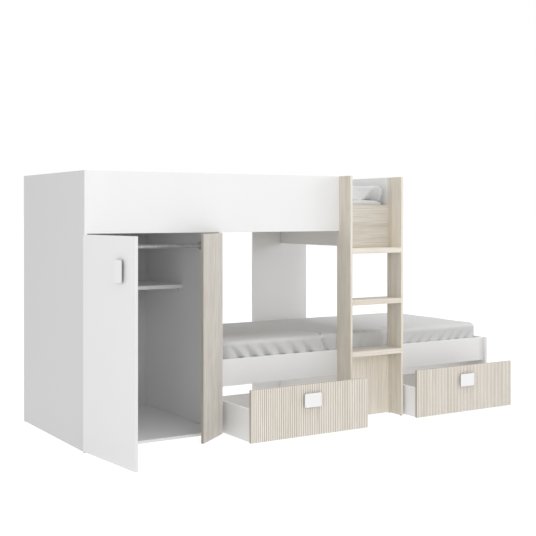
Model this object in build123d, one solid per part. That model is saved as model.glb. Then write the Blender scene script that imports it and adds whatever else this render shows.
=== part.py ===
from build123d import *
from math import asin, cos, sin
import os

# Staggered bunk bed: an upper bunk over a two-door wardrobe, a ladder in front of the place where
# the bunks overlap, and a lower bunk with two rolling drawers under it.
# Millimetres. X runs along the front from the left end, Y from the front to the wall, Z up.
# It is drawn in use: both wardrobe doors are ajar and both drawers are pulled out.

os.makedirs("parts", exist_ok=True)

# Boards
board = 16.0
edge_ease = 0.8
cut_ease = 0.2
shelf_board = 22.0
hardboard = 3.0
glide_height = 3.0
glide_radius = 7.5
glide_inset = 14.0
fit_gap = 0.2
soft_gap = 0.3

# Mattresses, which set the size of both bunks
mattress_length = 2000.0
mattress_width = 900.0
mattress_play_across = 12.0
upper_play_along = 45.0
lower_play_along = 67.0

# Carcass
bed_height = 1500.0
rear_inset = 16.0
wardrobe_width = 829.0
support_width = 447.0

# Rails of the two bunks
upper_rail_height = 338.0
lower_rail_height = 155.0
lower_rail_clearance = 272.0
bearer_height = 30.0
bearer_thickness = 22.0
lower_bearer_rise = 50.0

# Ladder
ladder_width = 412.0
ladder_depth = 140.0
ladder_reach = 118.0
rung_thickness = 32.0
lowest_rung_top = 426.0
top_rung_drop = 105.0
ladder_panel_height = 268.0

# Slats and cross beam
slat_width = 80.0
slat_thickness = 18.0
slat_play = 2.0
slat_ease = 3.0
slats_per_bunk = 12
beam_drop = 102.0

# Bedding
upper_mattress_thickness = 130.0
lower_mattress_thickness = 155.0
mattress_corner = 60.0
mattress_edge = 28.0
pillow_length = 820.0
pillow_width = 400.0
pillow_thickness = 92.0
pillow_end_gap = 6.0
pillow_corner = 60.0
pillow_edge = 30.0

# Wardrobe inside
wardrobe_floor = 10.0
shelf_height = 815.0
shelf_depth = 511.0
groove_depth = 5.0
pin_radius = 2.5
pin_hole_depth = 10.0
pin_head_radius = 4.0
pin_head_length = 9.0
pin_from_edge = 45.0
rail_radius = 12.5
rail_wall = 1.2
rail_from_front = 220.0
rail_from_ceiling = 81.0
socket_plate_radius = 24.0
socket_plate = 3.0
socket_collar = 12.0
socket_wall = 3.0

# Wardrobe doors
door_bottom = 10.0
door_top_gap = 4.0
door_gap = 2.5
door_reveal = 1.0
door_meeting_gap = 3.0
left_door_width = 550.0
left_door_angle = 84.8
right_door_angle = 38.0
hinge_axis_inset = 3.5
hinge_axis_depth = 2.8
hinges_per_door = 3
hinge_from_end = 100.0

# Concealed hinges
cup_radius = 17.5
cup_depth = 11.0
cup_wall = 1.2
cup_from_edge = 22.5
cup_flange_length = 52.0
cup_flange_width = 12.0
cup_flange = 1.2
arm_width = 14.0
arm_rise = 11.0
arm_wall = 1.5
arm_reach = 6.0
arm_length = 68.0
plate_thickness = 2.0
plate_length = 44.0
plate_from_front = 22.0
plate_width = 46.0
link_thickness = 1.8
link_width = 6.0
link_clearance = 0.7
link_tip_rise = 2.1
link_tip_lean = 0.8
link_bend = 3.0
link_tip_bend = 1.2
link_pin_radius = 1.5
link_eye_radius = 3.0
link_pin_from_front = 3.0
link_pin_from_plate = 5.0

# Half-round ribs of the fluted boards
rib_pitch = 12.4
rib_width = 9.4
rib_height = 3.5
rib_sides = 5

# Tab handle
handle_length = 116.0
handle_width = 80.0
handle_plate = 4.0
handle_corner = 9.0
handle_stem_length = 56.0
handle_stem_width = 30.0
handle_stem = 13.0
handle_ease = 1.0
door_handle_from_edge = 146.0
door_handle_from_top = 176.0
drawer_handle_from_top = 89.0

# Drawers
drawer_front_height = 292.0
drawer_clearance = 6.0
drawer_side_board = 12.0
drawer_base_board = 8.0
drawer_box_inset = 10.0
drawer_box_depth = 445.0
drawer_side_top = 190.0
drawer_base_height = 44.0
left_drawer_gap = 17.0
left_drawer_ladder_gap = 9.0
right_drawer_gap = 4.5
left_drawer_open = 305.0
right_drawer_open = 245.0

# Castors under the drawers
wheel_radius = 18.0
wheel_width = 16.0
wheel_ease = 2.0
axle_radius = 3.0
axle_clearance = 0.05
ear_thickness = 2.0
ear_gap = 1.0
ear_half_depth = 11.0
ear_drop = 8.0
castor_plate = 2.0
castor_plate_length = 44.0
castor_plate_width = 36.0
castor_from_side = 40.0
castor_from_end = 45.0

# Places that follow from the sizes
ladder_back = ladder_depth - ladder_reach
bed_length = wardrobe_width + mattress_length + lower_play_along + board
bed_depth = ladder_back + 2 * board + mattress_width + mattress_play_across + rear_inset
ladder_left = 2 * board + mattress_length + upper_play_along - ladder_width
upper_rail_bottom = bed_height - upper_rail_height
lower_rail_top = lower_rail_clearance + lower_rail_height
rung_step = (upper_rail_bottom - top_rung_drop - lowest_rung_top) / 2
rail_rear = bed_depth - rear_inset
ladder_right = ladder_left + ladder_width
lower_rail_front = ladder_back
divider_left = ladder_left + ladder_width / 2 - board
beam_bottom = upper_rail_bottom - beam_drop
upper_bearer_bottom = upper_rail_bottom + board
lower_bearer_bottom = lower_rail_clearance + lower_bearer_rise
upper_slat_top = upper_bearer_bottom + bearer_height + slat_thickness
lower_slat_top = lower_bearer_bottom + bearer_height + slat_thickness
wardrobe_inner_right = wardrobe_width - board
hardboard_front = rail_rear - hardboard
shelf_front = hardboard_front - shelf_depth
rail_height = upper_rail_bottom - rail_from_ceiling
pin_rows = (shelf_front + pin_from_edge, hardboard_front - pin_from_edge)
door_height = upper_rail_bottom - door_top_gap - door_bottom
right_door_width = wardrobe_width - 2 * door_reveal - door_meeting_gap - left_door_width
hinge_axis_y = -(door_gap + hinge_axis_depth)
left_hinge_x = door_reveal + hinge_axis_inset
right_hinge_x = wardrobe_width - left_hinge_x
left_drawer_ends = (wardrobe_width + left_drawer_gap, ladder_left - left_drawer_ladder_gap)
right_drawer_ends = (ladder_right + right_drawer_gap, bed_length - board - right_drawer_gap)
castor_height = drawer_base_height - castor_plate


def board_block(x_low, x_high, y_low, y_high, z_low, z_high, ease=edge_ease):
    """A board between its limits, with the arrises eased as edge banding leaves them."""
    corner = (Align.MIN, Align.MIN, Align.MIN)
    size = (x_high - x_low, y_high - y_low, z_high - z_low)
    block = Pos(x_low, y_low, z_low) * Box(*size, align=corner)
    return chamfer(block.edges(), ease)


def rod(start, direction, radius, length):
    """A round bar from a start point along a direction."""
    return extrude(Plane(origin=start, z_dir=direction) * Circle(radius), amount=length)


def group(solids):
    """Separate solids that share one node."""
    return Compound([piece.solid() for piece in solids])


def evenly_spaced(first, last, count):
    """Places from first to last in equal steps."""
    return [first + (last - first) * number / (count - 1) for number in range(count)]


# Carcass of the upper bunk and the wardrobe


def pin_holes(face_x, direction):
    """Blind holes for the shelf pins in a side board's inner face."""
    height = shelf_height - pin_head_radius
    return [
        rod((face_x, y, height), (direction, 0, 0), pin_radius + fit_gap / 2, pin_hole_depth)
        for y in pin_rows
    ]


def back_groove(x_low, x_high):
    """Groove that takes the hardboard back."""
    corner = (Align.MIN, Align.MIN, Align.MIN)
    height = upper_rail_bottom - wardrobe_floor
    cutter = Box(x_high - x_low, hardboard + fit_gap, height, align=corner)
    return Pos(x_low, hardboard_front - fit_gap / 2, wardrobe_floor) * cutter


def left_end_panel():
    """Full-height end board of the bed, also the wardrobe's left side."""
    panel = board_block(0, board, 0, bed_depth, glide_height, bed_height)
    panel -= back_groove(board - groove_depth, board)
    for hole in pin_holes(board, -1):
        panel -= hole
    return panel


def wardrobe_side_panel():
    """Right side board of the wardrobe; the upper bunk rests on its top edge."""
    panel = board_block(
        wardrobe_inner_right, wardrobe_width, 0, bed_depth, glide_height, upper_rail_bottom
    )
    panel -= back_groove(wardrobe_inner_right, wardrobe_inner_right + groove_depth)
    for hole in pin_holes(wardrobe_inner_right, 1):
        panel -= hole
    return panel


def wardrobe_bottom_board():
    """Floor board of the wardrobe."""
    top = wardrobe_floor + board
    return board_block(board, wardrobe_inner_right, 0, hardboard_front, wardrobe_floor, top)


def wardrobe_top_board():
    """Ceiling of the wardrobe, which also carries the head of the upper bunk."""
    return board_block(
        board, wardrobe_width, board, rail_rear - board, upper_rail_bottom, upper_bearer_bottom
    )


def wardrobe_back_panel():
    """Hardboard back, held in the grooves of the two side boards."""
    reach = groove_depth - fit_gap
    corner = (Align.MIN, Align.MIN, Align.MIN)
    width = wardrobe_inner_right - board + 2 * reach
    height = upper_rail_bottom - wardrobe_floor
    return Pos(board - reach, hardboard_front, wardrobe_floor) * Box(
        width, hardboard, height, align=corner
    )


def wardrobe_shelf():
    """Half-depth shelf on four pins."""
    top = shelf_height + shelf_board
    return board_block(
        board + fit_gap, wardrobe_inner_right - fit_gap, shelf_front, hardboard_front,
        shelf_height, top,
    )


def shelf_pins():
    """Plug-in pins under the shelf's four corners."""
    height = shelf_height - pin_head_radius
    pins = []
    for face_x, inward in ((board, 1), (wardrobe_inner_right, -1)):
        for y in pin_rows:
            shank_start = face_x - inward * (pin_hole_depth - fit_gap)
            shank = rod((shank_start, y, height), (inward, 0, 0), pin_radius, pin_hole_depth)
            head = rod((face_x, y, height), (inward, 0, 0), pin_head_radius, pin_head_length)
            pins.append(shank + head)
    return group(pins)


def rail_socket(face_x, inward):
    """Flanged cup that holds one end of the hanging rail."""
    centre = (face_x, rail_from_front, rail_height)
    bore = rail_radius + fit_gap / 2
    flange = rod(centre, (inward, 0, 0), socket_plate_radius, socket_plate)
    collar = rod(centre, (inward, 0, 0), bore + socket_wall, socket_collar)
    mouth = (face_x + inward * socket_plate, rail_from_front, rail_height)
    return flange + collar - rod(mouth, (inward, 0, 0), bore, socket_collar)


def rail_sockets():
    """The two sockets of the hanging rail."""
    return group([rail_socket(board, 1), rail_socket(wardrobe_inner_right, -1)])


def hanging_rail():
    """Round steel tube for coat hangers."""
    start = board + socket_plate + fit_gap
    length = wardrobe_inner_right - socket_plate - fit_gap - start
    place = (start, rail_from_front, rail_height)
    tube = rod(place, (1, 0, 0), rail_radius, length)
    return tube - rod(place, (1, 0, 0), rail_radius - rail_wall, length)


# Upper bunk


def upper_front_rail():
    """Front guard board, between the end panel and the ladder."""
    return board_block(board, ladder_left, 0, board, upper_rail_bottom, bed_height)


def upper_rear_rail():
    """Rear guard board on the wall side."""
    return board_block(
        board, ladder_right - board, rail_rear - board, rail_rear, upper_rail_bottom, bed_height
    )


def upper_right_end_panel():
    """End board of the upper bunk, in line with the ladder's right upright."""
    return board_block(
        ladder_right - board, ladder_right, ladder_back, rail_rear, upper_rail_bottom, bed_height
    )


def rear_support_panel():
    """Wide leg on the wall side that carries the upper bunk over the lower one."""
    return board_block(
        ladder_right - support_width, ladder_right, rail_rear, bed_depth, glide_height, bed_height
    )


def upper_cross_beam():
    """Board on edge under the upper slats, notched under the rear rail."""
    under_rail = board_block(
        divider_left, divider_left + board, ladder_back, rail_rear, beam_bottom,
        upper_rail_bottom, cut_ease,
    )
    before_rail = board_block(
        divider_left, divider_left + board, ladder_back, rail_rear - board,
        upper_rail_bottom - board, upper_bearer_bottom, cut_ease,
    )
    return under_rail + before_rail


def bearer(x_low, x_high, y_low, bottom):
    """One batten that slats lie on."""
    return board_block(
        x_low, x_high, y_low, y_low + bearer_thickness, bottom, bottom + bearer_height
    )


def upper_bearers():
    """Battens of the upper bunk; the front one steps back behind the ladder."""
    rear = rail_rear - board - bearer_thickness
    right = ladder_right - board
    return group([
        bearer(board, ladder_left, board, upper_bearer_bottom),
        bearer(ladder_left + fit_gap, right, ladder_back, upper_bearer_bottom),
        bearer(board, right, rear, upper_bearer_bottom),
    ])


def slats(x_low, x_high, y_low, y_high, top):
    """A row of cross slats with equal gaps."""
    half = slat_width / 2
    places = evenly_spaced(x_low + slat_width, x_high - slat_width, slats_per_bunk)
    return group([
        board_block(x - half, x + half, y_low, y_high, top - slat_thickness, top, slat_ease)
        for x in places
    ])


def upper_slats():
    """Slats of the upper bunk."""
    return slats(
        board, ladder_right - board, ladder_back + slat_play, rail_rear - board - slat_play,
        upper_slat_top,
    )


# Lower bunk


def lower_front_rail():
    """Front board of the lower bunk, set back behind the ladder and the drawer fronts."""
    return board_block(
        wardrobe_width, bed_length - board, lower_rail_front, lower_rail_front + board,
        lower_rail_clearance, lower_rail_top,
    )


def lower_rear_rail():
    """Rear board of the lower bunk."""
    return board_block(
        wardrobe_width, bed_length - board, rail_rear - board, rail_rear,
        lower_rail_clearance, lower_rail_top,
    )


def lower_right_end_panel():
    """Foot board of the lower bunk."""
    return board_block(
        bed_length - board, bed_length, 0, bed_depth, glide_height, lower_rail_top
    )


def centre_divider():
    """Upright board across the bed under the lower bunk, notched round both rails."""
    wide = board_block(
        divider_left, divider_left + board, ladder_back, rail_rear, glide_height,
        lower_rail_clearance, cut_ease,
    )
    narrow = board_block(
        divider_left, divider_left + board, lower_rail_front + board, rail_rear - board,
        lower_rail_clearance - board, lower_bearer_bottom, cut_ease,
    )
    return wide + narrow


def lower_bearers():
    """Battens inside both rails of the lower bunk."""
    front = lower_rail_front + board
    rear = rail_rear - board - bearer_thickness
    right = bed_length - board
    return group([
        bearer(wardrobe_width, right, front, lower_bearer_bottom),
        bearer(wardrobe_width, right, rear, lower_bearer_bottom),
    ])


def lower_slats():
    """Slats of the lower bunk."""
    return slats(
        wardrobe_width, bed_length - board, lower_rail_front + board + slat_play,
        rail_rear - board - slat_play, lower_slat_top,
    )


# Ladder


def ladder_upright(x_low):
    """One upright board of the ladder."""
    return board_block(
        x_low, x_low + board, -ladder_reach, ladder_back, glide_height, bed_height
    )


def ladder_rung(number):
    """One tread between the uprights, counted from the lowest."""
    top = lowest_rung_top + number * rung_step
    return board_block(
        ladder_left + board, ladder_right - board, -ladder_reach, ladder_back,
        top - rung_thickness, top,
    )


def ladder_lower_panel():
    """Board that closes the ladder from the floor to the lowest rung."""
    return board_block(
        ladder_left + board, ladder_right - board, ladder_back - board, ladder_back,
        glide_height, lowest_rung_top - rung_thickness,
    )


def ladder_upper_panel():
    """Board over the highest rung that closes the side of the upper bunk."""
    bottom = lowest_rung_top + 2 * rung_step
    return board_block(
        ladder_left + board, ladder_right - board, ladder_back - board, ladder_back,
        bottom, bottom + ladder_panel_height,
    )


def floor_glides():
    """Nail-on glides under every board that stands on the floor."""
    half = board / 2
    deep = (glide_inset, bed_depth - glide_inset)
    places = [(half, y) for y in deep]
    places += [(wardrobe_width - half, y) for y in deep]
    places += [(bed_length - half, y) for y in deep]
    places += [(divider_left + half, y) for y in (ladder_back + glide_inset, rail_rear - glide_inset)]
    places += [
        (x, rail_rear + half)
        for x in (ladder_right - support_width + glide_inset, ladder_right - glide_inset)
    ]
    places += [
        (x, y)
        for x in (ladder_left + half, ladder_right - half)
        for y in (glide_inset - ladder_reach, ladder_back - glide_inset)
    ]
    return group([rod((x, y, 0), (0, 0, 1), glide_radius, glide_height) for x, y in places])


# Bedding


def cushion_block(x_low, x_high, y_low, y_high, z_low, z_high, corner, edge):
    """A soft block with round corners in plan and slanted top and bottom edges."""
    align = (Align.MIN, Align.MIN, Align.MIN)
    size = (x_high - x_low, y_high - y_low, z_high - z_low)
    block = Pos(x_low, y_low, z_low) * Box(*size, align=align)
    block = fillet(block.edges().filter_by(Axis.Z), corner)
    rims = block.faces().sort_by(Axis.Z)
    return chamfer(rims[0].edges() + rims[-1].edges(), edge)


def mattress(x_middle, y_middle, bottom, thickness):
    """A mattress in its fitted sheet, centred in its bunk."""
    half_length = mattress_length / 2
    half_width = mattress_width / 2
    low = bottom + soft_gap
    return cushion_block(
        x_middle - half_length, x_middle + half_length, y_middle - half_width,
        y_middle + half_width, low, low + thickness, mattress_corner, mattress_edge,
    )


def upper_mattress():
    """Mattress of the upper bunk."""
    x_middle = ladder_right / 2
    y_middle = (ladder_back + rail_rear - board) / 2
    return mattress(x_middle, y_middle, upper_slat_top, upper_mattress_thickness)


def lower_mattress():
    """Mattress of the lower bunk."""
    x_middle = (wardrobe_width + bed_length - board) / 2
    y_middle = (lower_rail_front + rail_rear) / 2
    return mattress(x_middle, y_middle, lower_slat_top, lower_mattress_thickness)


def upper_pillow():
    """Pillow at the ladder end of the upper bunk."""
    x_high = ladder_right - board - pillow_end_gap
    y_middle = (ladder_back + rail_rear - board) / 2
    low = upper_slat_top + upper_mattress_thickness + 2 * soft_gap
    return cushion_block(
        x_high - pillow_width, x_high, y_middle - pillow_length / 2,
        y_middle + pillow_length / 2, low, low + pillow_thickness, pillow_corner, pillow_edge,
    )


# Fluted boards and handles


def rib_outline(middle):
    """Points round one rib, in a few flat sides that follow its round."""
    half = rib_width / 2
    radius = (half**2 + rib_height**2) / (2 * rib_height)
    spread = asin(half / radius)
    turns = evenly_spaced(-spread, spread, rib_sides + 1)
    return [
        (middle + radius * sin(turn), radius - board - radius * cos(turn))
        for turn in turns
    ]


def fluted_board(width, height):
    """A board with a row of upright half-round ribs; its back is on Y=0, its ribs face -Y."""
    land = -(board - rib_height)
    count = int((width - rib_width) // rib_pitch) + 1
    first = (width - (count - 1) * rib_pitch) / 2
    outline = [(0, 0), (0, land)]
    for number in range(count):
        outline += rib_outline(first + number * rib_pitch)
    outline += [(width, land), (width, 0)]
    return extrude(make_face(Polyline(*outline, close=True)), amount=height, dir=(0, 0, 1))


def tab_handle():
    """A flat tab on a short stem; it stands on the XZ plane and points to -Y."""
    stem = extrude(
        Plane.XZ * RectangleRounded(handle_stem_length, handle_stem_width, handle_corner),
        amount=handle_stem,
    )
    plate = extrude(
        Plane.XZ.offset(handle_stem)
        * RectangleRounded(handle_length, handle_width, handle_corner),
        amount=handle_plate,
    )
    front_edges = plate.faces().sort_by(Axis.Y)[0].edges()
    return stem + chamfer(front_edges, handle_ease)


# Doors


def hinge_heights():
    """Heights of the hinges on a door."""
    return evenly_spaced(
        door_bottom + hinge_from_end, door_bottom + door_height - hinge_from_end, hinges_per_door
    )


def swung(shape, axis_x, angle):
    """A shape turned about a door's upright hinge axis."""
    return shape.rotate(Axis((axis_x, hinge_axis_y, 0), (0, 0, 1)), angle)


def other_side(shape):
    """The same piece on the wardrobe's right side."""
    return mirror(shape, about=Plane.YZ.offset(wardrobe_width / 2))


def cup_bores():
    """Blind bores for the left door's hinge cups, in the door's back."""
    centre = door_reveal + cup_from_edge
    return [
        rod((centre, -door_gap, z), (0, -1, 0), cup_radius + fit_gap / 2, cup_depth)
        for z in hinge_heights()
    ]


def hinge_cup(height):
    """Pressed cup with its two screw wings, in the left door as it is when closed."""
    centre = door_reveal + cup_from_edge
    cup = rod((centre, -door_gap, height), (0, -1, 0), cup_radius, cup_depth - fit_gap)
    wings = extrude(
        Plane(origin=(centre, -door_gap, height), x_dir=(0, 0, 1), z_dir=(0, 1, 0))
        * RectangleRounded(cup_flange_length, cup_flange_width, cup_flange_width / 3),
        amount=cup_flange,
    )
    hollow = rod(
        (centre, cup_flange - door_gap, height), (0, -1, 0), cup_radius - cup_wall,
        cup_depth + cup_flange - fit_gap - cup_wall,
    )
    return cup + wings - hollow


def hinge_cups():
    """All cups of the left door as it is when closed."""
    return [hinge_cup(height) for height in hinge_heights()]


def hinge_link(height):
    """Cranked link that reaches from the arm's pin round the door's edge into its cup."""
    half = link_thickness / 2
    pin_x = board + plate_thickness + link_pin_from_plate
    pin = (pin_x, link_pin_from_front, height)
    cup_wall_x = door_reveal + cup_from_edge - cup_radius + cup_wall
    tip_x = cup_wall_x + link_clearance + half
    cup_floor_y = fit_gap + cup_wall - door_gap - cup_depth
    crank_y = cup_floor_y + link_clearance + half
    crank = FilletPolyline(
        (pin_x, link_pin_from_front),
        (pin_x, -arm_reach),
        (board + cut_ease, crank_y),
        (tip_x + link_tip_lean, crank_y),
        (tip_x, crank_y + link_tip_rise),
        radius=[link_bend, link_bend, link_tip_bend],
    )
    strap = extrude(make_face(offset(crank, amount=half)), amount=link_width / 2, both=True)
    eye = rod(pin, (0, 0, 1), link_eye_radius, link_width / 2)
    eye += rod(pin, (0, 0, -1), link_eye_radius, link_width / 2)
    return Pos(0, 0, height) * strap + eye


def hinge_arm(height):
    """Mounting plate, channel-shaped arm and link on the left side board."""
    corner = (Align.MIN, Align.MIN, Align.CENTER)
    plate = Pos(board, plate_from_front, height) * Box(
        plate_thickness, plate_length, plate_width, align=corner
    )
    arm_x = board + plate_thickness
    arm = Pos(arm_x, -arm_reach, height) * Box(arm_rise, arm_length, arm_width, align=corner)
    channel = Pos(arm_x, -arm_reach, height) * Box(
        arm_rise - arm_wall, plate_from_front + arm_reach, arm_width - 2 * arm_wall, align=corner
    )
    pin_x = arm_x + link_pin_from_plate
    pin_start = (pin_x, link_pin_from_front, height - arm_width / 2)
    pin = rod(pin_start, (0, 0, 1), link_pin_radius, arm_width)
    return plate + (arm - channel) + pin + hinge_link(height)


def left_hinge_arms():
    """Hinge arms on the left end panel."""
    return group([hinge_arm(height) for height in hinge_heights()])


def right_hinge_arms():
    """Hinge arms on the wardrobe's right side board."""
    return group([other_side(hinge_arm(height)) for height in hinge_heights()])


def left_door_panel():
    """Plain white door, swung open."""
    panel = board_block(
        door_reveal, door_reveal + left_door_width, -door_gap - board, -door_gap,
        door_bottom, door_bottom + door_height,
    )
    for bore in cup_bores():
        panel -= bore
    return swung(panel, left_hinge_x, -left_door_angle)


def left_door_hinge_cups():
    """Hinge cups in the left door."""
    return group([swung(cup, left_hinge_x, -left_door_angle) for cup in hinge_cups()])


def left_door_handle():
    """Upright tab handle near the left door's free edge."""
    upright = tab_handle().rotate(Axis.Y, 90)
    x = door_reveal + left_door_width - door_handle_from_edge
    height = door_bottom + door_height - door_handle_from_top
    placed = Pos(x, -door_gap - board, height) * upright
    return swung(placed, left_hinge_x, -left_door_angle)


def right_door_panel():
    """Narrow fluted door, swung open."""
    left_edge = wardrobe_width - door_reveal - right_door_width
    panel = Pos(left_edge, -door_gap, door_bottom) * fluted_board(right_door_width, door_height)
    for bore in cup_bores():
        panel -= other_side(bore)
    return swung(panel, right_hinge_x, right_door_angle)


def right_door_hinge_cups():
    """Hinge cups in the right door."""
    return group([
        swung(other_side(cup), right_hinge_x, right_door_angle) for cup in hinge_cups()
    ])


# Drawers


def drawer_front(ends, front):
    """Fluted drawer front."""
    left, right = ends
    return Pos(left, front + board, drawer_clearance) * fluted_board(
        right - left, drawer_front_height
    )


def drawer_handle(ends, front):
    """Tab handle above the middle of a drawer front."""
    middle = sum(ends) / 2
    height = drawer_clearance + drawer_front_height - drawer_handle_from_top
    return Pos(middle, front, height) * tab_handle()


def drawer_left_side(ends, front):
    """Left side board of a drawer box."""
    x_low = ends[0] + drawer_box_inset
    return board_block(
        x_low, x_low + drawer_side_board, front + board, front + board + drawer_box_depth,
        drawer_clearance, drawer_side_top,
    )


def drawer_right_side(ends, front):
    """Right side board of a drawer box."""
    x_high = ends[1] - drawer_box_inset
    return board_block(
        x_high - drawer_side_board, x_high, front + board, front + board + drawer_box_depth,
        drawer_clearance, drawer_side_top,
    )


def drawer_inner_limits(ends):
    """The two X limits between a drawer's side boards."""
    wall = drawer_box_inset + drawer_side_board
    return ends[0] + wall, ends[1] - wall


def drawer_back(ends, front):
    """Rear board of a drawer box, standing on the base."""
    x_low, x_high = drawer_inner_limits(ends)
    rear = front + board + drawer_box_depth
    return board_block(
        x_low, x_high, rear - drawer_side_board, rear,
        drawer_base_height + drawer_base_board, drawer_side_top,
    )


def drawer_base(ends, front):
    """Base board of a drawer box, between the side boards."""
    x_low, x_high = drawer_inner_limits(ends)
    return board_block(
        x_low, x_high, front + board, front + board + drawer_box_depth,
        drawer_base_height, drawer_base_height + drawer_base_board,
    )


def castor_columns(ends):
    """X places of a drawer's castors."""
    x_low, x_high = drawer_inner_limits(ends)
    return x_low + castor_from_side, x_high - castor_from_side


def castor_rows(front):
    """Y places of a drawer's front and rear castors."""
    box_front = front + board
    return box_front + castor_from_end, box_front + drawer_box_depth - castor_from_end


def castor_bracket(x, y):
    """Screw-on fork with its axle."""
    align = (Align.CENTER, Align.CENTER, Align.MIN)
    plate = Pos(x, y, castor_height) * Box(
        castor_plate_length, castor_plate_width, castor_plate, align=align
    )
    ear_middle = wheel_width / 2 + ear_gap + ear_thickness / 2
    ear_bottom = wheel_radius - ear_drop
    fork = plate
    for side in (-1, 1):
        fork += Pos(x + side * ear_middle, y, ear_bottom) * Box(
            ear_thickness, 2 * ear_half_depth, castor_height - ear_bottom, align=align
        )
    half = ear_middle + ear_thickness / 2
    return fork + rod((x - half, y, wheel_radius), (1, 0, 0), axle_radius, 2 * half)


def castor_brackets(ends, front):
    """The four forks under a drawer."""
    return group([
        castor_bracket(x, y) for x in castor_columns(ends) for y in castor_rows(front)
    ])


def castor_wheel(x, y):
    """One fixed castor wheel with eased shoulders."""
    start = (x - wheel_width / 2, y, wheel_radius)
    wheel = rod(start, (1, 0, 0), wheel_radius, wheel_width)
    wheel = chamfer(wheel.edges(), wheel_ease)
    return wheel - rod(start, (1, 0, 0), axle_radius + axle_clearance, wheel_width)


def castor_wheels(ends, row):
    """The two wheels that turn on one line."""
    return group([castor_wheel(x, row) for x in castor_columns(ends)])


# All sub-parts

parts = {
    "left_end_panel": left_end_panel(),
    "wardrobe_side_panel": wardrobe_side_panel(),
    "wardrobe_bottom_board": wardrobe_bottom_board(),
    "wardrobe_top_board": wardrobe_top_board(),
    "wardrobe_back_panel": wardrobe_back_panel(),
    "wardrobe_shelf": wardrobe_shelf(),
    "shelf_pins": shelf_pins(),
    "hanging_rail": hanging_rail(),
    "rail_sockets": rail_sockets(),
    "left_hinge_arms": left_hinge_arms(),
    "right_hinge_arms": right_hinge_arms(),
    "upper_front_rail": upper_front_rail(),
    "upper_rear_rail": upper_rear_rail(),
    "upper_right_end_panel": upper_right_end_panel(),
    "rear_support_panel": rear_support_panel(),
    "upper_cross_beam": upper_cross_beam(),
    "upper_bearers": upper_bearers(),
    "upper_slats": upper_slats(),
    "upper_mattress": upper_mattress(),
    "upper_pillow": upper_pillow(),
    "lower_front_rail": lower_front_rail(),
    "lower_rear_rail": lower_rear_rail(),
    "lower_right_end_panel": lower_right_end_panel(),
    "centre_divider": centre_divider(),
    "lower_bearers": lower_bearers(),
    "lower_slats": lower_slats(),
    "lower_mattress": lower_mattress(),
    "ladder_left_upright": ladder_upright(ladder_left),
    "ladder_right_upright": ladder_upright(ladder_right - board),
    "ladder_lower_rung": ladder_rung(0),
    "ladder_middle_rung": ladder_rung(1),
    "ladder_upper_rung": ladder_rung(2),
    "ladder_lower_panel": ladder_lower_panel(),
    "ladder_upper_panel": ladder_upper_panel(),
    "floor_glides": floor_glides(),
    "left_door_panel": left_door_panel(),
    "left_door_hinge_cups": left_door_hinge_cups(),
    "left_door_handle": left_door_handle(),
    "right_door_panel": right_door_panel(),
    "right_door_hinge_cups": right_door_hinge_cups(),
}

for side, ends, front in (
    ("left", left_drawer_ends, -left_drawer_open),
    ("right", right_drawer_ends, -right_drawer_open),
):
    front_row, rear_row = castor_rows(front)
    parts[f"{side}_drawer_front"] = drawer_front(ends, front)
    parts[f"{side}_drawer_handle"] = drawer_handle(ends, front)
    parts[f"{side}_drawer_left_side"] = drawer_left_side(ends, front)
    parts[f"{side}_drawer_right_side"] = drawer_right_side(ends, front)
    parts[f"{side}_drawer_back"] = drawer_back(ends, front)
    parts[f"{side}_drawer_base"] = drawer_base(ends, front)
    parts[f"{side}_drawer_castor_brackets"] = castor_brackets(ends, front)
    parts[f"{side}_drawer_front_wheels"] = castor_wheels(ends, front_row)
    parts[f"{side}_drawer_rear_wheels"] = castor_wheels(ends, rear_row)

for name, shape in parts.items():
    export_step(shape, f"parts/{name}.step")
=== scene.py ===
import math
import random

import bmesh
import bpy
import numpy as np
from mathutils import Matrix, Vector, noise


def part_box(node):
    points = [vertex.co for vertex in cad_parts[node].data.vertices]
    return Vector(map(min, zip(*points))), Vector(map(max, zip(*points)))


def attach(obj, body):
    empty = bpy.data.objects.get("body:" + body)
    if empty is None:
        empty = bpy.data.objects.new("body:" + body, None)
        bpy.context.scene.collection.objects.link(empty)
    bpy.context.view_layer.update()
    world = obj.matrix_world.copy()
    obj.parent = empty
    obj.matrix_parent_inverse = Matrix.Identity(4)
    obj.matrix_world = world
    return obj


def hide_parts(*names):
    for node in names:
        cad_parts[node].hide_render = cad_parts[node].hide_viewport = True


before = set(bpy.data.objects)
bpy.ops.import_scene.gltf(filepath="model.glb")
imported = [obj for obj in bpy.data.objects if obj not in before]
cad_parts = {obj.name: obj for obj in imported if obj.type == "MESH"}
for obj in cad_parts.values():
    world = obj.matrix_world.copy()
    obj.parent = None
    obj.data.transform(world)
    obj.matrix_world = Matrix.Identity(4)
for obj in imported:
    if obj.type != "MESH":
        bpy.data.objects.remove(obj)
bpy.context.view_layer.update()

studio = bpy.context.scene
studio.view_settings.view_transform = "Standard"

# The view: an eye-level camera before the wardrobe end of the bed, turned towards the wall.
# It is held level and shifted down, so upright boards stay upright in the picture.
camera_place = (-2.026, -5.063, 1.266)
camera_turn = math.radians(-32.08)
camera_data = bpy.data.cameras.new("camera")
camera_data.lens = 68.04
camera_data.sensor_width = 36.0
camera_data.shift_y = -0.1004
camera = bpy.data.objects.new("camera", camera_data)
camera.location = camera_place
camera.rotation_euler = (math.pi / 2, 0, camera_turn)
studio.collection.objects.link(camera)
studio.camera = camera


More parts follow.
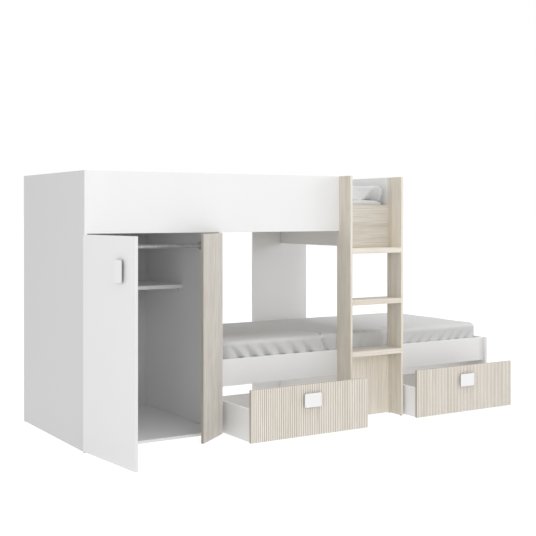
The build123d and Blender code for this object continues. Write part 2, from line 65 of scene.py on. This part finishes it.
# Studio light: wide soft boxes in front, overhead and at the right, a smaller one at the left,
# and a dim even room, which is plain white where the camera or a shiny surface sees it.
def soft_box(name, place, aim, width, power):
    """A square lamp that faces a point of the bed."""
    data = bpy.data.lights.new(name, "AREA")
    data.size = width
    data.energy = power
    lamp = bpy.data.objects.new(name, data)
    lamp.location = place
    lamp.rotation_euler = (Vector(aim) - Vector(place)).to_track_quat("-Z", "Y").to_euler()
    studio.collection.objects.link(lamp)


soft_box("front_box", (-0.8, -7.0, 2.6), (1.2, 0.2, 0.8), 3.5, 94)
soft_box("top_box", (1.5, -0.5, 5.5), (1.5, 0.4, 0.6), 4.0, 122)
soft_box("right_box", (7.5, -3.0, 2.8), (1.8, 0.2, 0.8), 3.0, 101)
soft_box("left_box", (-3.2, -2.2, 1.5), (0.2, -0.3, 0.9), 1.6, 23)
room_light = 0.565


def seen_directly(tree):
    """One where the camera, a reflection or glass looks at a surface, and zero for other light."""
    path = tree.nodes.new("ShaderNodeLightPath")
    total = path.outputs["Is Camera Ray"]
    for kind in ("Is Glossy Ray", "Is Transmission Ray"):
        either = tree.nodes.new("ShaderNodeMath")
        either.operation = "MAXIMUM"
        tree.links.new(total, either.inputs[0])
        tree.links.new(path.outputs[kind], either.inputs[1])
        total = either.outputs[0]
    return total


studio.world = bpy.data.worlds.new("studio_room")
studio.world.use_nodes = True
room = studio.world.node_tree
room.nodes.clear()
room_glow = room.nodes.new("ShaderNodeBackground")
room_glow.inputs["Strength"].default_value = room_light
backdrop = room.nodes.new("ShaderNodeBackground")
backdrop.inputs["Color"].default_value = (1, 1, 1, 1)
room_glow.inputs["Color"].default_value = (1, 1, 1, 1)
either_room = room.nodes.new("ShaderNodeMixShader")
room_output = room.nodes.new("ShaderNodeOutputWorld")
room.links.new(seen_directly(room), either_room.inputs["Fac"])
room.links.new(room_glow.outputs[0], either_room.inputs[1])
room.links.new(backdrop.outputs[0], either_room.inputs[2])
room.links.new(either_room.outputs[0], room_output.inputs[0])

# Floor: a pale sweep that shows white, with only the soft shadow where the bed stands on it.
# It sends even light up to the bed, also from where the bed shades it.
floor_mesh = bpy.data.meshes.new("floor")
floor_reach = 400.0
floor_corners = [
    (x * floor_reach, y * floor_reach, 0) for x, y in ((-1, -1), (1, -1), (1, 1), (-1, 1))
]
floor_mesh.from_pydata(floor_corners, [], [(0, 1, 2, 3)])
floor = bpy.data.objects.new("floor", floor_mesh)
studio.collection.objects.link(floor)
floor_paint = bpy.data.materials.new("pale_floor")
floor_paint.use_nodes = True
paint = floor_paint.node_tree
paint.nodes.clear()
floor_uplight = paint.nodes.new("ShaderNodeEmission")
floor_uplight.inputs["Strength"].default_value = 0.85
floor_shade = paint.nodes.new("ShaderNodeBsdfDiffuse")
floor_shade.inputs["Color"].default_value = (0.35, 0.35, 0.36, 1)
floor_glow = paint.nodes.new("ShaderNodeEmission")
floor_glow.inputs["Strength"].default_value = 0.86
floor_seen = paint.nodes.new("ShaderNodeAddShader")
floor_mix = paint.nodes.new("ShaderNodeMixShader")
floor_output = paint.nodes.new("ShaderNodeOutputMaterial")
paint.links.new(floor_shade.outputs[0], floor_seen.inputs[0])
paint.links.new(floor_glow.outputs[0], floor_seen.inputs[1])
paint.links.new(seen_directly(paint), floor_mix.inputs["Fac"])
paint.links.new(floor_uplight.outputs[0], floor_mix.inputs[1])
paint.links.new(floor_seen.outputs[0], floor_mix.inputs[2])
paint.links.new(floor_mix.outputs[0], floor_output.inputs["Surface"])
floor_mesh.materials.append(floor_paint)


# White boards of the carcass and of both bunks: particle board in white melamine with a fine
# orange-peel press texture, edged all round with matching band and eased arrises.
def new_finish(name):
    """A finish with its shader, and the piece's own coordinates in metres."""
    finish = bpy.data.materials.new(name)
    finish.use_nodes = True
    tree = finish.node_tree
    place = tree.nodes.new("ShaderNodeTexCoord")
    return finish, tree, tree.nodes["Principled BSDF"], place


def mottle(tree, place, scale, stretch=(1, 1, 1), shift=0.0, detail=2.0, rough=0.5):
    """Noise in the piece's coordinates, drawn out along an axis where stretch is small."""
    spread = tree.nodes.new("ShaderNodeMapping")
    spread.inputs["Scale"].default_value = stretch
    spread.inputs["Location"].default_value = (shift, 2.3 * shift, 1.7 * shift)
    pattern = tree.nodes.new("ShaderNodeTexNoise")
    pattern.inputs["Scale"].default_value = scale
    pattern.inputs["Detail"].default_value = detail
    pattern.inputs["Roughness"].default_value = rough
    tree.links.new(place.outputs["Object"], spread.inputs["Vector"])
    tree.links.new(spread.outputs["Vector"], pattern.inputs["Vector"])
    return pattern.outputs["Fac"]


def graded(tree, value, *stops):
    """A colour ramp over a value; each stop is a position and a colour."""
    ramp = tree.nodes.new("ShaderNodeValToRGB")
    points = ramp.color_ramp.elements
    while len(points) < len(stops):
        points.new(0.5)
    for point, (position, colour) in zip(points, stops):
        point.position = position
        point.color = (*colour, 1)
    tree.links.new(value, ramp.inputs["Fac"])
    return ramp.outputs["Color"]


def between(tree, value, low, high):
    """A plain number that follows a noise value."""
    scaled = tree.nodes.new("ShaderNodeMapRange")
    scaled.inputs["From Min"].default_value = 0.3
    scaled.inputs["From Max"].default_value = 0.7
    scaled.inputs["To Min"].default_value = low
    scaled.inputs["To Max"].default_value = high
    tree.links.new(value, scaled.inputs["Value"])
    return scaled.outputs["Result"]


def relief(tree, shader, height, depth, strength=1.0):
    """Surface relief of a real depth in metres."""
    bump = tree.nodes.new("ShaderNodeBump")
    bump.inputs["Distance"].default_value = depth
    bump.inputs["Strength"].default_value = strength
    tree.links.new(height, bump.inputs["Height"])
    tree.links.new(bump.outputs["Normal"], shader.inputs["Normal"])


def toned(colour, share):
    """The same colour, lighter or darker."""
    return tuple(channel * share for channel in colour)


def darkened(tree, colour, shade, share=1.0):
    """A colour multiplied by a shade, in full or in part."""
    product = tree.nodes.new("ShaderNodeMix")
    product.data_type = "RGBA"
    product.blend_type = "MULTIPLY"
    product.inputs["Factor"].default_value = share
    tree.links.new(colour, product.inputs["A"])
    tree.links.new(shade, product.inputs["B"])
    return product.outputs["Result"]


def seen_from(tree, place, facing, painted_shade_tone):
    """White on the faces that look the way of facing, and a darker tone on the rest as painted
    shade.
    """
    along = tree.nodes.new("ShaderNodeVectorMath")
    along.operation = "DOT_PRODUCT"
    along.inputs[1].default_value = facing
    tree.links.new(place.outputs["Normal"], along.inputs[0])
    return graded(tree, along.outputs["Value"], (0.5, painted_shade_tone), (0.8, (1, 1, 1)))


def melamine(name, colour, roughness=0.42, facing=None, painted_shade_tone=None):
    """Smooth pressed melamine, or plastic; where facing is given, it keeps the colour and other
    faces get a darker copy of it as painted shade.
    """
    finish, tree, shader, place = new_finish(name)
    clouds = mottle(tree, place, 3.0, detail=3.0)
    tint = graded(tree, clouds, (0.3, toned(colour, 0.985)), (0.7, colour))
    if facing:
        tint = darkened(tree, tint, seen_from(tree, place, facing, painted_shade_tone))
    tree.links.new(tint, shader.inputs["Base Color"])
    dullness = between(tree, clouds, roughness - 0.03, roughness + 0.03)
    tree.links.new(dullness, shader.inputs["Roughness"])
    relief(tree, shader, mottle(tree, place, 900.0), 0.00004, 0.35)
    return finish


def dress(finish, *nodes):
    """Gives solids of the frame a finish."""
    for node in nodes:
        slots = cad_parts[node].data.materials
        slots.clear()
        slots.append(finish)


dress(
    melamine("white_melamine", (0.84, 0.84, 0.84)), "wardrobe_side_panel", "wardrobe_bottom_board",
    "wardrobe_top_board", "wardrobe_shelf", "upper_front_rail", "upper_rear_rail",
    "upper_right_end_panel", "rear_support_panel", "upper_cross_beam", "lower_front_rail",
    "lower_rear_rail", "lower_right_end_panel", "centre_divider",
)
# The end panel's front edge keeps the full white, and its other faces, the broad outer face among
# them, are a little darker as painted shade.
end_panel_melamine = melamine(
    "end_panel_melamine", (0.84, 0.84, 0.845), facing=(0, -1, 0), painted_shade_tone=(0.833, 0.833, 0.833)
)
dress(end_panel_melamine, "left_end_panel")
left_door_turn = math.radians(84.8)
left_door_facing = (-math.sin(left_door_turn), -math.cos(left_door_turn), 0)
# The left door's outer face is lighter than the other white boards as painted light, and its edges
# and inner face are darker as painted shade.
door_melamine = melamine(
    "door_melamine", (0.885, 0.88, 0.885), facing=left_door_facing, painted_shade_tone=(0.9, 0.9, 0.9)
)
dress(door_melamine, "left_door_panel")

# Wardrobe back: 3 mm hardboard with a thin white lacquer, a little duller and less even than the
# boards, held in the grooves of the two side boards. Its grey, much darker than the white boards, is
# painted shade for the inside of the wardrobe.
lacquered_hardboard = melamine("lacquered_hardboard", (0.63, 0.63, 0.628), 0.55)
dress(lacquered_hardboard, "wardrobe_back_panel")


# Ladder boards: pale oak decor with fine straight grain. The grain runs up the uprights and the
# lower panel, and across on the rungs and the upper panel. The faces turned to the front keep the
# full tone, and all other faces, the uprights' sides and the rung tops among them, are darker as
# painted shade.
def between_tones(dark, light, share):
    """A colour part of the way from dark to light."""
    return tuple(low + (high - low) * share for low, high in zip(dark, light))


def oak_decor(name, along, shift, light, dark, shading=None):
    """Straight-grained oak decor; along is the grain's axis, shift another part of the print."""
    finish, tree, shader, place = new_finish(name)
    drawn = [1.0, 1.0, 1.0]
    drawn["XYZ".index(along)] = 0.035
    bands = mottle(tree, place, 26.0, drawn, shift, detail=2.0, rough=0.5)
    streaks = mottle(tree, place, 150.0, drawn, shift, detail=4.0, rough=0.6)
    drawn["XYZ".index(along)] = 0.012
    fibres = mottle(tree, place, 800.0, drawn, shift, detail=2.0)
    print_layers = graded(tree, bands, (0.32, between_tones(dark, light, 0.5)), (0.55, light))
    for value, low, high, share in (
        (streaks, 0.36, 0.60, 0.36),
        (fibres, 0.35, 0.65, 0.30),
    ):
        layer = graded(tree, value, (low, dark), (high, (1, 1, 1)))
        print_layers = darkened(tree, print_layers, layer, share)
    if shading:
        print_layers = darkened(tree, print_layers, shading(tree, place))
    tree.links.new(print_layers, shader.inputs["Base Color"])
    tree.links.new(between(tree, streaks, 0.42, 0.52), shader.inputs["Roughness"])
    relief(tree, shader, fibres, 0.00008, 0.5)
    return finish


oak_light = (0.885, 0.845, 0.77)
oak_dark = (0.72, 0.65, 0.54)
# Per board: the grain's axis, the tone share on the front face and the share on its other faces;
# shares below 1 are painted shade, the upper panel's front among them.
ladder_boards = {
    "ladder_left_upright": ("Z", 0.98, 0.83),
    "ladder_right_upright": ("Z", 1.0, 0.86),
    "ladder_lower_panel": ("Z", 1.0, 0.9),
    "ladder_lower_rung": ("X", 0.96, 0.85),
    "ladder_middle_rung": ("X", 0.96, 0.85),
    "ladder_upper_rung": ("X", 0.96, 0.85),
    "ladder_upper_panel": ("X", 0.83, 0.8),
}


def ladder_oak(node, along, shift, front, side):
    """The ladder's oak decor, with shares of its tone on the front and on all other faces, the
    darker shares as painted shade.
    """
    def shading(tree, place):
        return seen_from(tree, place, (0, -1, 0), (side / front,) * 3)

    return oak_decor(
        f"oak_{node}", along, shift, toned(oak_light, front), toned(oak_dark, front), shading
    )


for number, (node, (along, front, side)) in enumerate(ladder_boards.items()):
    dress(ladder_oak(node, along, 0.37 * number, front, side), node)


# Fluted fronts: boards with half-round ribs under a bleached oak foil. The grain runs along the
# ribs on the right door and on both drawer fronts.
rib_depth = 0.0035
lit_depth = 0.3 * rib_depth
foil_light = (0.93, 0.895, 0.84)
foil_dark = (0.80, 0.75, 0.675)
# The colour down in the grooves is painted shade.
groove_painted_shade = (0.50, 0.47, 0.43)


def fluted_oak(node, shift, facing, share):
    """Bleached oak foil over ribs, paler and greyer than the ladder, with painted shade darker down
    in the grooves.
    """
    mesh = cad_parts[node].data
    front = max(Vector(facing).dot(vertex.co) for vertex in mesh.vertices)

    def shaded_grooves(tree, place):
        depth = tree.nodes.new("ShaderNodeVectorMath")
        depth.operation = "DOT_PRODUCT"
        depth.inputs[1].default_value = facing
        tree.links.new(place.outputs["Object"], depth.inputs[0])
        groove = tree.nodes.new("ShaderNodeMapRange")
        groove.inputs["From Min"].default_value = front - rib_depth
        groove.inputs["From Max"].default_value = front - lit_depth
        tree.links.new(depth.outputs["Value"], groove.inputs["Value"])
        return graded(tree, groove.outputs["Result"], (0.0, groove_painted_shade), (1.0, (1, 1, 1)))

    return oak_decor(
        f"fluted_{node}", "Z", shift, toned(foil_light, share), toned(foil_dark, share),
        shaded_grooves,
    )


right_door_turn = math.radians(38)
right_door_facing = (math.sin(right_door_turn), -math.cos(right_door_turn), 0)
# The right door's foil is toned down to 0.81 of the drawer fronts' as painted shade.
dress(fluted_oak("right_door_panel", 5.0, right_door_facing, 0.81), "right_door_panel")
dress(fluted_oak("left_drawer_front", 6.0, (0, -1, 0), 1.0), "left_drawer_front")
dress(fluted_oak("right_drawer_front", 7.0, (0, -1, 0), 1.0), "right_drawer_front")

# Tab handles of the left door and of both drawers: moulded plastic with a fine silk, white in front.
# The grey round the sides is painted shade.
tab_facing = {
    "left_door_handle": left_door_facing,
    "left_drawer_handle": (0, -1, 0),
    "right_drawer_handle": (0, -1, 0),
}
for node, facing in tab_facing.items():
    dress(melamine(f"silk_{node}", (0.90, 0.89, 0.90), 0.35, facing, (0.36, 0.36, 0.37)), node)

# Drawer boxes: 12 mm white melamine sides and back with an 8 mm base let in between them.
drawer_melamine = melamine("drawer_melamine", (0.87, 0.87, 0.865), 0.48)
for side in ("left", "right"):
    for piece in ("left_side", "right_side", "back", "base"):
        dress(drawer_melamine, f"{side}_drawer_{piece}")


# Steel fittings: bright zinc-plated hinges, shelf pins and castor forks, and the duller hanging
# rail with its sockets.
def zinc(name, roughness):
    """Zinc-plated steel with faint patches from the bath."""
    finish, tree, shader, place = new_finish(name)
    patches = mottle(tree, place, 60.0, detail=3.0)
    tint = graded(tree, patches, (0.3, (0.56, 0.56, 0.58)), (0.7, (0.68, 0.68, 0.69)))
    tree.links.new(tint, shader.inputs["Base Color"])
    shader.inputs["Metallic"].default_value = 1.0
    dullness = between(tree, patches, roughness - 0.05, roughness + 0.06)
    tree.links.new(dullness, shader.inputs["Roughness"])
    relief(tree, shader, mottle(tree, place, 1500.0), 0.00002, 0.4)
    return finish


dress(zinc("satin_zinc", 0.55), "hanging_rail", "rail_sockets")
dress(
    zinc("bright_zinc", 0.32), "shelf_pins", "left_hinge_arms",
    "right_hinge_arms", "left_door_hinge_cups", "right_door_hinge_cups",
    "left_drawer_castor_brackets", "right_drawer_castor_brackets",
)

# Castor wheels and floor glides: dark grey moulded plastic, scuffed dull where they run.
grey_plastic = melamine("grey_plastic", (0.09, 0.09, 0.095), 0.5)
dress(
    grey_plastic, "floor_glides", "left_drawer_front_wheels", "left_drawer_rear_wheels",
    "right_drawer_front_wheels", "right_drawer_rear_wheels",
)

# Slats and battens: planed softwood with plain grain along each piece.
slat_pine = oak_decor("slat_pine", "Y", 3.1, (0.83, 0.745, 0.62), (0.68, 0.56, 0.42))
dress(slat_pine, "upper_slats", "lower_slats")
batten_pine = oak_decor("batten_pine", "X", 3.7, (0.83, 0.745, 0.62), (0.68, 0.56, 0.42))
dress(batten_pine, "upper_bearers", "lower_bearers")

# Mattresses: foam cores in a pale knitted ticking, lying on the slats between the rails. The
# sheets cover all but the middle of the underside, which shows between the slats.
def soft_block(low, high, corner, edge, step):
    """Points and four-sided faces round a block whose upright corners are rounded by corner, and
    its upper and lower edges by edge."""
    low, high, half = np.array(low), np.array(high), (np.array(high) - low) / 2
    cells = np.round(2 * half / step).astype(int)
    grid = np.stack(np.meshgrid(*[np.arange(count + 1) for count in cells], indexing="ij"), axis=-1)
    on_skin = ((grid == 0) | (grid == cells)).any(axis=-1)
    number = np.full(on_skin.shape, -1)
    number[on_skin] = np.arange(on_skin.sum())
    faces = []
    for axis in range(3):
        for side in (0, cells[axis]):
            flat = np.take(number, side, axis=axis)
            quads = (flat[:-1, :-1], flat[1:, :-1], flat[1:, 1:], flat[:-1, 1:])
            quads = np.stack(quads, axis=-1).reshape(-1, 4)
            faces.append(quads[:, ::-1] if (side == 0) != (axis == 1) else quads)
    points = (grid[on_skin] / cells * 2 - 1) * half
    inward = (half[:2] - np.abs(points[:, :2])).min(axis=1)
    down = half[2] - np.abs(points[:, 2])
    turn_on_side = 1 + np.clip(down / edge, 0, 1)
    turn_on_face = 1 - np.clip(inward / edge, 0, 1)
    turn = np.where(down > 0, turn_on_side, turn_on_face) * math.pi / 4
    rounded = (inward < edge) & (down < edge)
    new_inward = np.where(rounded, edge * (1 - np.sin(turn)), inward)
    new_down = np.where(rounded, edge * (1 - np.cos(turn)), down)
    ring = (half[:2] - new_inward[:, None]) / np.maximum(half[:2] - inward[:, None], 1e-9)
    points[:, :2] *= ring
    points[:, 2] = np.sign(points[:, 2]) * (half[2] - new_down)
    past = np.abs(points[:, :2]) - (half[:2] - corner)
    in_corner = (past > 0).all(axis=1)
    reach = past.max(axis=1)
    around = math.pi / 4 * past.min(axis=1) / np.maximum(reach, 1e-9)
    around = np.where(past[:, 0] >= past[:, 1], around, math.pi / 2 - around)
    round_corner = np.stack((np.cos(around), np.sin(around)), axis=-1) * reach[:, None]
    round_corner = np.sign(points[:, :2]) * (half[:2] - corner + round_corner)
    points[:, :2] = np.where(in_corner[:, None], round_corner, points[:, :2])
    return points + (low + high) / 2, np.concatenate(faces)


def outward_of(points, faces):
    """Unit directions straight out of a skin at its points."""
    corners = points[faces]
    across = np.cross(corners[:, 2] - corners[:, 0], corners[:, 3] - corners[:, 1])
    outward = np.zeros_like(points)
    for corner in range(4):
        np.add.at(outward, faces[:, corner], across)
    return outward / np.linalg.norm(outward, axis=1, keepdims=True)


def soft_piece(name, points, faces, finish):
    """A smooth-shaded piece from points and faces."""
    mesh = bpy.data.meshes.new(name)
    mesh.from_pydata(points.tolist(), [], faces.tolist())
    mesh.shade_smooth()
    mesh.materials.append(finish)
    piece = bpy.data.objects.new(name, mesh)
    studio.collection.objects.link(piece)
    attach(piece, "carcass")
    return piece


def woven(name, colour, pitch, depth):
    """Woven or knitted cotton: threads of a real pitch, faint slubs and a soft sheen."""
    finish, tree, shader, place = new_finish(name)
    clouds = mottle(tree, place, 6.0, detail=3.0)
    tint = graded(tree, clouds, (0.3, toned(colour, 0.97)), (0.7, colour))
    tree.links.new(tint, shader.inputs["Base Color"])
    tree.links.new(between(tree, clouds, 0.86, 0.94), shader.inputs["Roughness"])
    shader.inputs["Sheen Weight"].default_value = 0.12
    shader.inputs["Sheen Roughness"].default_value = 0.5
    threads = None
    for direction in "XYZ":
        wave = tree.nodes.new("ShaderNodeTexWave")
        wave.bands_direction = direction
        wave.inputs["Scale"].default_value = 0.314 / pitch
        wave.inputs["Distortion"].default_value = 0.6
        tree.links.new(place.outputs["Object"], wave.inputs["Vector"])
        if threads is None:
            threads = wave.outputs["Fac"]
            continue
        both = tree.nodes.new("ShaderNodeMath")
        both.operation = "ADD"
        tree.links.new(threads, both.inputs[0])
        tree.links.new(wave.outputs["Fac"], both.inputs[1])
        threads = both.outputs[0]
    relief(tree, shader, threads, depth, 0.6)
    return finish


ticking = woven("knitted_ticking", (0.74, 0.73, 0.70), 0.0016, 0.0002)
core_inset = 0.012
core_lift = 0.004
core_edge = 0.02
core_step = 0.02
core_corner_less = 0.01
quilt_pitch = 0.12
quilt_depth = 0.0012
plan_corner = {"lower": 0.06, "upper": 0.034}
mattress_boxes = {}
for bunk in ("lower", "upper"):
    low, high = [np.array(corner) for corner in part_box(f"{bunk}_mattress")]
    mattress_boxes[bunk] = (low, high)
    points, faces = soft_block(
        low + (core_inset, core_inset, core_lift), high - core_inset,
        plan_corner[bunk] - core_corner_less, core_edge, core_step,
    )
    outward = outward_of(points, faces)
    quilting = np.cos(points[:, 0] * 2 * math.pi / quilt_pitch)
    quilting *= np.cos(points[:, 1] * 2 * math.pi / quilt_pitch)
    points += outward * (quilt_depth * (np.abs(quilting) ** 0.5 - 1))[:, None]
    core = soft_piece(f"{bunk}_mattress_core", points, faces, ticking)
    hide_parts(f"{bunk}_mattress")


# Fitted sheets: light grey cotton cut with four corner darts, pulled over the mattresses with an
# elastic hem underneath. Pulling it down leaves slanted folds along the side and a few on top.
def folded(points, outward, lines):
    """Moves points in along fold lines, with a roll of spare cloth beside each. A line is its
    points, its depth at the first and last of them, and its width."""
    shift = np.zeros(len(points))
    for line, deep, shallow, width in lines:
        line = np.array(line)
        nearest = np.full(len(points), np.inf)
        change = np.zeros(len(points))
        for number, (start, end) in enumerate(zip(line, line[1:])):
            run = end - start
            share = np.clip((points - start) @ run / (run @ run), 0, 1)
            off = points - start - share[:, None] * run
            distance = np.linalg.norm(off, axis=1)
            side = np.sign(np.einsum("ij,ij->i", np.cross(run, outward), off))
            across = side * distance / width
            depth = deep + (shallow - deep) * (number + share) / (len(line) - 1)
            roll = 0.5 * np.exp(-(((across - 1.7) / 1.2) ** 2))
            bend = depth * (roll - np.exp(-(across**2)))
            closer = distance < nearest
            change[closer] = bend[closer]
            nearest[closer] = distance[closer]
        shift += change
    return points + outward * shift[:, None]


def undulation(points, scale, seed):
    """Smooth noise between -1 and 1 at each point."""
    away = Vector((17.0 * seed, 5.0 * seed, 3.0))
    return np.array([noise.noise(Vector(point) * scale + away) for point in points])


sheet_cotton = woven("grey_cotton", (0.61, 0.61, 0.61), 0.0006, 0.00008)
sheet_tuck = 0.12
sheet_puff = 0.003
sheet_gap = 0.001
sheet_edge = 0.026
held_below = 0.1
rail_gap = 0.004
pulled_left = (0.982, 1.071, 1.163, 1.266, 1.371, 1.477)
pulled_right = (2.268, 2.348, 2.432, 2.530, 2.610, 2.683, 2.760)
sheet_steps = {"lower": (0.006, 0.010, 0.007), "upper": (0.010, 0.010, 0.010)}
for seed, bunk in enumerate(("lower", "upper")):
    low, high = mattress_boxes[bunk]
    points, faces = soft_block(
        low + sheet_gap, high - sheet_gap, plan_corner[bunk], sheet_edge, np.array(sheet_steps[bunk])
    )
    outward = outward_of(points, faces)
    front, back, top = low[1], high[1], high[2]
    rng = random.Random(40 + seed)
    lines = []
    if bunk == "lower":
        # Folds on the left part of the side that lean left as they rise.
        for x in pulled_left:
            reach = rng.uniform(0.8, 1.15)
            lines.append((
                [(x + 0.05, front, top - 0.14), (x, front, top - 0.098),
                 (x - 0.035 * reach, front, top - 0.058), (x - 0.08 * reach, front, top - 0.022)],
                rng.uniform(0.018, 0.023), 0.0, rng.uniform(0.013, 0.018),
            ))
        # Folds on the right part that lean right.
        for x in pulled_right:
            reach = rng.uniform(0.8, 1.2)
            lines.append((
                [(x - 0.03, front, top - 0.14), (x, front, top - 0.098),
                 (x + 0.05 * reach, front, top - 0.04)],
                rng.uniform(0.018, 0.024), 0.0, rng.uniform(0.011, 0.016),
            ))
        # Creases that run on over the top: one deep and narrow, two shallow and wide.
        lines.append((
            [(1.64, front, top - 0.14), (1.605, front, top - 0.098), (1.575, front, top - 0.035),
             (1.562, front + 0.03, top), (1.60, 0.11, top), (1.63, 0.18, top), (1.58, 0.31, top),
             (1.50, 0.42, top)],
            0.024, 0.0, 0.008,
        ))
        lines.append((
            [(1.86, front, top - 0.12), (1.89, front, top - 0.035), (1.90, front + 0.03, top),
             (1.96, 0.18, top), (2.00, 0.30, top)],
            0.007, 0.0, 0.016,
        ))
        lines.append((
            [(2.06, front, top - 0.12), (2.085, front, top - 0.035), (2.10, front + 0.03, top),
             (2.15, 0.22, top), (2.19, 0.39, top)],
            0.007, 0.0, 0.016,
        ))
    # Shallow folds round all other sides.
    for edge in (front, back):
        if edge == front and bunk == "lower":
            continue
        x = low[0] + 0.10
        while x < high[0] - 0.10:
            lean = rng.uniform(-0.07, 0.07)
            lines.append((
                [(x, edge, low[2] + 0.02), (x + lean, edge, top - rng.uniform(0.02, 0.06))],
                rng.uniform(0.003, 0.009), 0.0, rng.uniform(0.010, 0.018),
            ))
            x += rng.uniform(0.07, 0.16)
    for edge in (low[0], high[0]):
        y = front + 0.09
        while y < back - 0.09:
            lean = rng.uniform(-0.06, 0.06)
            lines.append((
                [(edge, y, low[2] + 0.02), (edge, y + lean, top - rng.uniform(0.02, 0.06))],
                rng.uniform(0.003, 0.008), 0.0, rng.uniform(0.010, 0.018),
            ))
            y += rng.uniform(0.07, 0.15)
    on_top = np.clip(outward[:, 2], 0, 1)
    on_side = 1 - np.abs(outward[:, 2])
    risen = np.clip((points[:, 2] - low[2]) / 0.1, 0, 1)
    points += outward * (on_side * sheet_puff * risen)[:, None]
    points = folded(points, outward, lines)
    # Low on the front side the cloth can only fill the gap to the rail.
    held_back = np.maximum(points[:, 1], front - rail_gap)
    points[:, 1] = np.where(points[:, 2] < top - held_below, held_back, points[:, 1])
    for swell, scale, shift in ((0.0022, 4.0, 0), (0.0010, 13.0, 7)):
        points += outward * (on_top * swell * undulation(points, scale, seed + shift))[:, None]
    centres = points[faces].mean(axis=1)
    below = centres[:, 2] < low[2] + 0.004
    inside = (
        (np.abs(centres[:, 0] - (low[0] + high[0]) / 2) < (high[0] - low[0]) / 2 - sheet_tuck)
        & (np.abs(centres[:, 1] - (front + back) / 2) < (back - front) / 2 - sheet_tuck)
    )
    faces = faces[~(below & inside)]
    kept = np.unique(faces)
    number = np.zeros(len(points), dtype=int)
    number[kept] = np.arange(len(kept))
    points = points[kept]
    faces = number[faces]
    fitted = soft_piece(f"{bunk}_fitted_sheet", points, faces, sheet_cotton)

# Pillow: polyester filling in a light grey cotton case with a seam all round, pushed into the
# corner of the upper bunk. Its long edge curls up against the end panel, and its front end
# reaches over the edge of the mattress.
pillow_low, pillow_high = [np.array(corner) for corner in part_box("upper_pillow")]
pillow_half = (pillow_high - pillow_low) / 2
columns, rows = 56, 108
across, along = np.meshgrid(
    np.linspace(-1, 1, columns + 1), np.linspace(-1, 1, rows + 1), indexing="ij"
)


def pillow_half_case(up):
    """One half of the case, only partly filled, with its edge pulled in between the corners."""
    pull_across = 1 - 0.05 * np.cos(along * math.pi / 2) ** 2
    pull_along = 1 - 0.03 * np.cos(across * math.pi / 2) ** 2
    plump = ((1 - np.abs(across) ** 2.6) * (1 - np.abs(along) ** 4.0)) ** 0.5
    gathers = 0.12 * np.exp(-(((1 - np.abs(across)) / 0.18) ** 2)) * np.sin(19 * along + up) ** 2
    gathers += 0.14 * np.exp(-(((1 - np.abs(along)) / 0.12) ** 2)) * np.sin(12 * across + up) ** 2
    return np.stack((across * pull_across, along * pull_along, up * plump * (1 - gathers)), axis=-1)


start_half = pillow_half * np.array((1.04, 1.03, 0.62))
halves = np.stack((pillow_half_case(1), pillow_half_case(-1))).reshape(-1, 3) * start_half
count = (columns + 1) * (rows + 1)
index = np.arange(count).reshape(columns + 1, rows + 1)
quads = np.stack((index[:-1, :-1], index[1:, :-1], index[1:, 1:], index[:-1, 1:]), axis=-1)
quads = quads.reshape(-1, 4)
case_faces = np.concatenate((quads, quads[:, ::-1] + count))
pillow = soft_piece("pillow_case", halves, case_faces, sheet_cotton)
seamed = bmesh.new()
seamed.from_mesh(pillow.data)
bmesh.ops.remove_doubles(seamed, verts=seamed.verts, dist=0.0005)
seamed.to_mesh(pillow.data)
seamed.free()


def skin_points(mesh):
    """A mesh's points as rows."""
    flat = np.empty(3 * len(mesh.vertices))
    mesh.vertices.foreach_get("co", flat)
    return flat.reshape(-1, 3)


def filled(piece, pressure, reach):
    """Blows a closed case up under pressure, as its filling would, no point further than reach."""
    moments = 20
    before = skin_points(piece.data)
    filling = piece.modifiers.new("filling", "CLOTH")
    filling.settings.use_pressure = True
    filling.settings.uniform_pressure_force = pressure
    filling.settings.effector_weights.gravity = 0
    filling.settings.bending_stiffness = 0.3
    filling.point_cache.frame_end = moments
    for moment in range(1, moments + 1):
        studio.frame_set(moment)
    now = piece.evaluated_get(bpy.context.evaluated_depsgraph_get())
    moved = skin_points(now.data) - before
    far = np.linalg.norm(moved, axis=1, keepdims=True)
    after = before + moved * np.minimum(1, reach / np.maximum(far, 1e-9))
    piece.modifiers.remove(filling)
    studio.frame_set(1)
    return after


plump = filled(pillow, 4.0, 0.03)
plump /= np.abs(plump).max(axis=0)


def eased(value, low, high):
    """A soft step from 0 to 1 as value passes from low to high."""
    share = np.clip((value - low) / (high - low), 0, 1)
    return share * share * (3 - 2 * share)


pillow_height = 2 * pillow_half[2]
seam_height = 0.024
curl_rise = 0.058
edge_fall = 0.4
hang = 0.066
overhang = 0.066
corner_pull = 0.034
edge_clear = 0.002
cloth_gap = 0.0005
no_limit = -1.0
towards_panel = eased(plump[:, 0], 0.02, 0.66)
lift = towards_panel * (1 - edge_fall * eased(plump[:, 0], 0.68, 1.0))
front_end = eased(-plump[:, 1], 0.76, 1.0)
drop = hang * front_end * (1 - towards_panel)
seam = seam_height + curl_rise * lift
over = np.minimum(seam + plump[:, 2] * (pillow_height - seam_height), pillow_height) - drop
seam -= drop
filled_out = np.clip(-2.2 * plump[:, 2], 0, 1)
under = seam * (1 - filled_out) - hang * front_end * filled_out
settled = plump * pillow_half
settled[:, 2] = np.where(plump[:, 2] > 0, over, under)
settled[:, :2] += ((pillow_low + pillow_high) / 2)[:2]
settled[:, 1] -= front_end * overhang
settled[:, 0] -= corner_pull * front_end * eased(plump[:, 0], 0.6, 1.0)
# The case lies on the mattress, whose edge is round, and is free beyond it.
inside_edge = settled[:, 1] - mattress_boxes["upper"][0][1]
short_of_flat = np.clip(sheet_edge - inside_edge, 0, sheet_edge)
surface = np.sqrt(sheet_edge**2 - short_of_flat**2) - sheet_edge
surface = np.where(inside_edge > edge_clear, surface, no_limit)
settled[:, 2] = np.maximum(settled[:, 2], surface + cloth_gap) + pillow_low[2]
pillow.data.vertices.foreach_set("co", settled.ravel())
pillow.data.update()
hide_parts("upper_pillow")
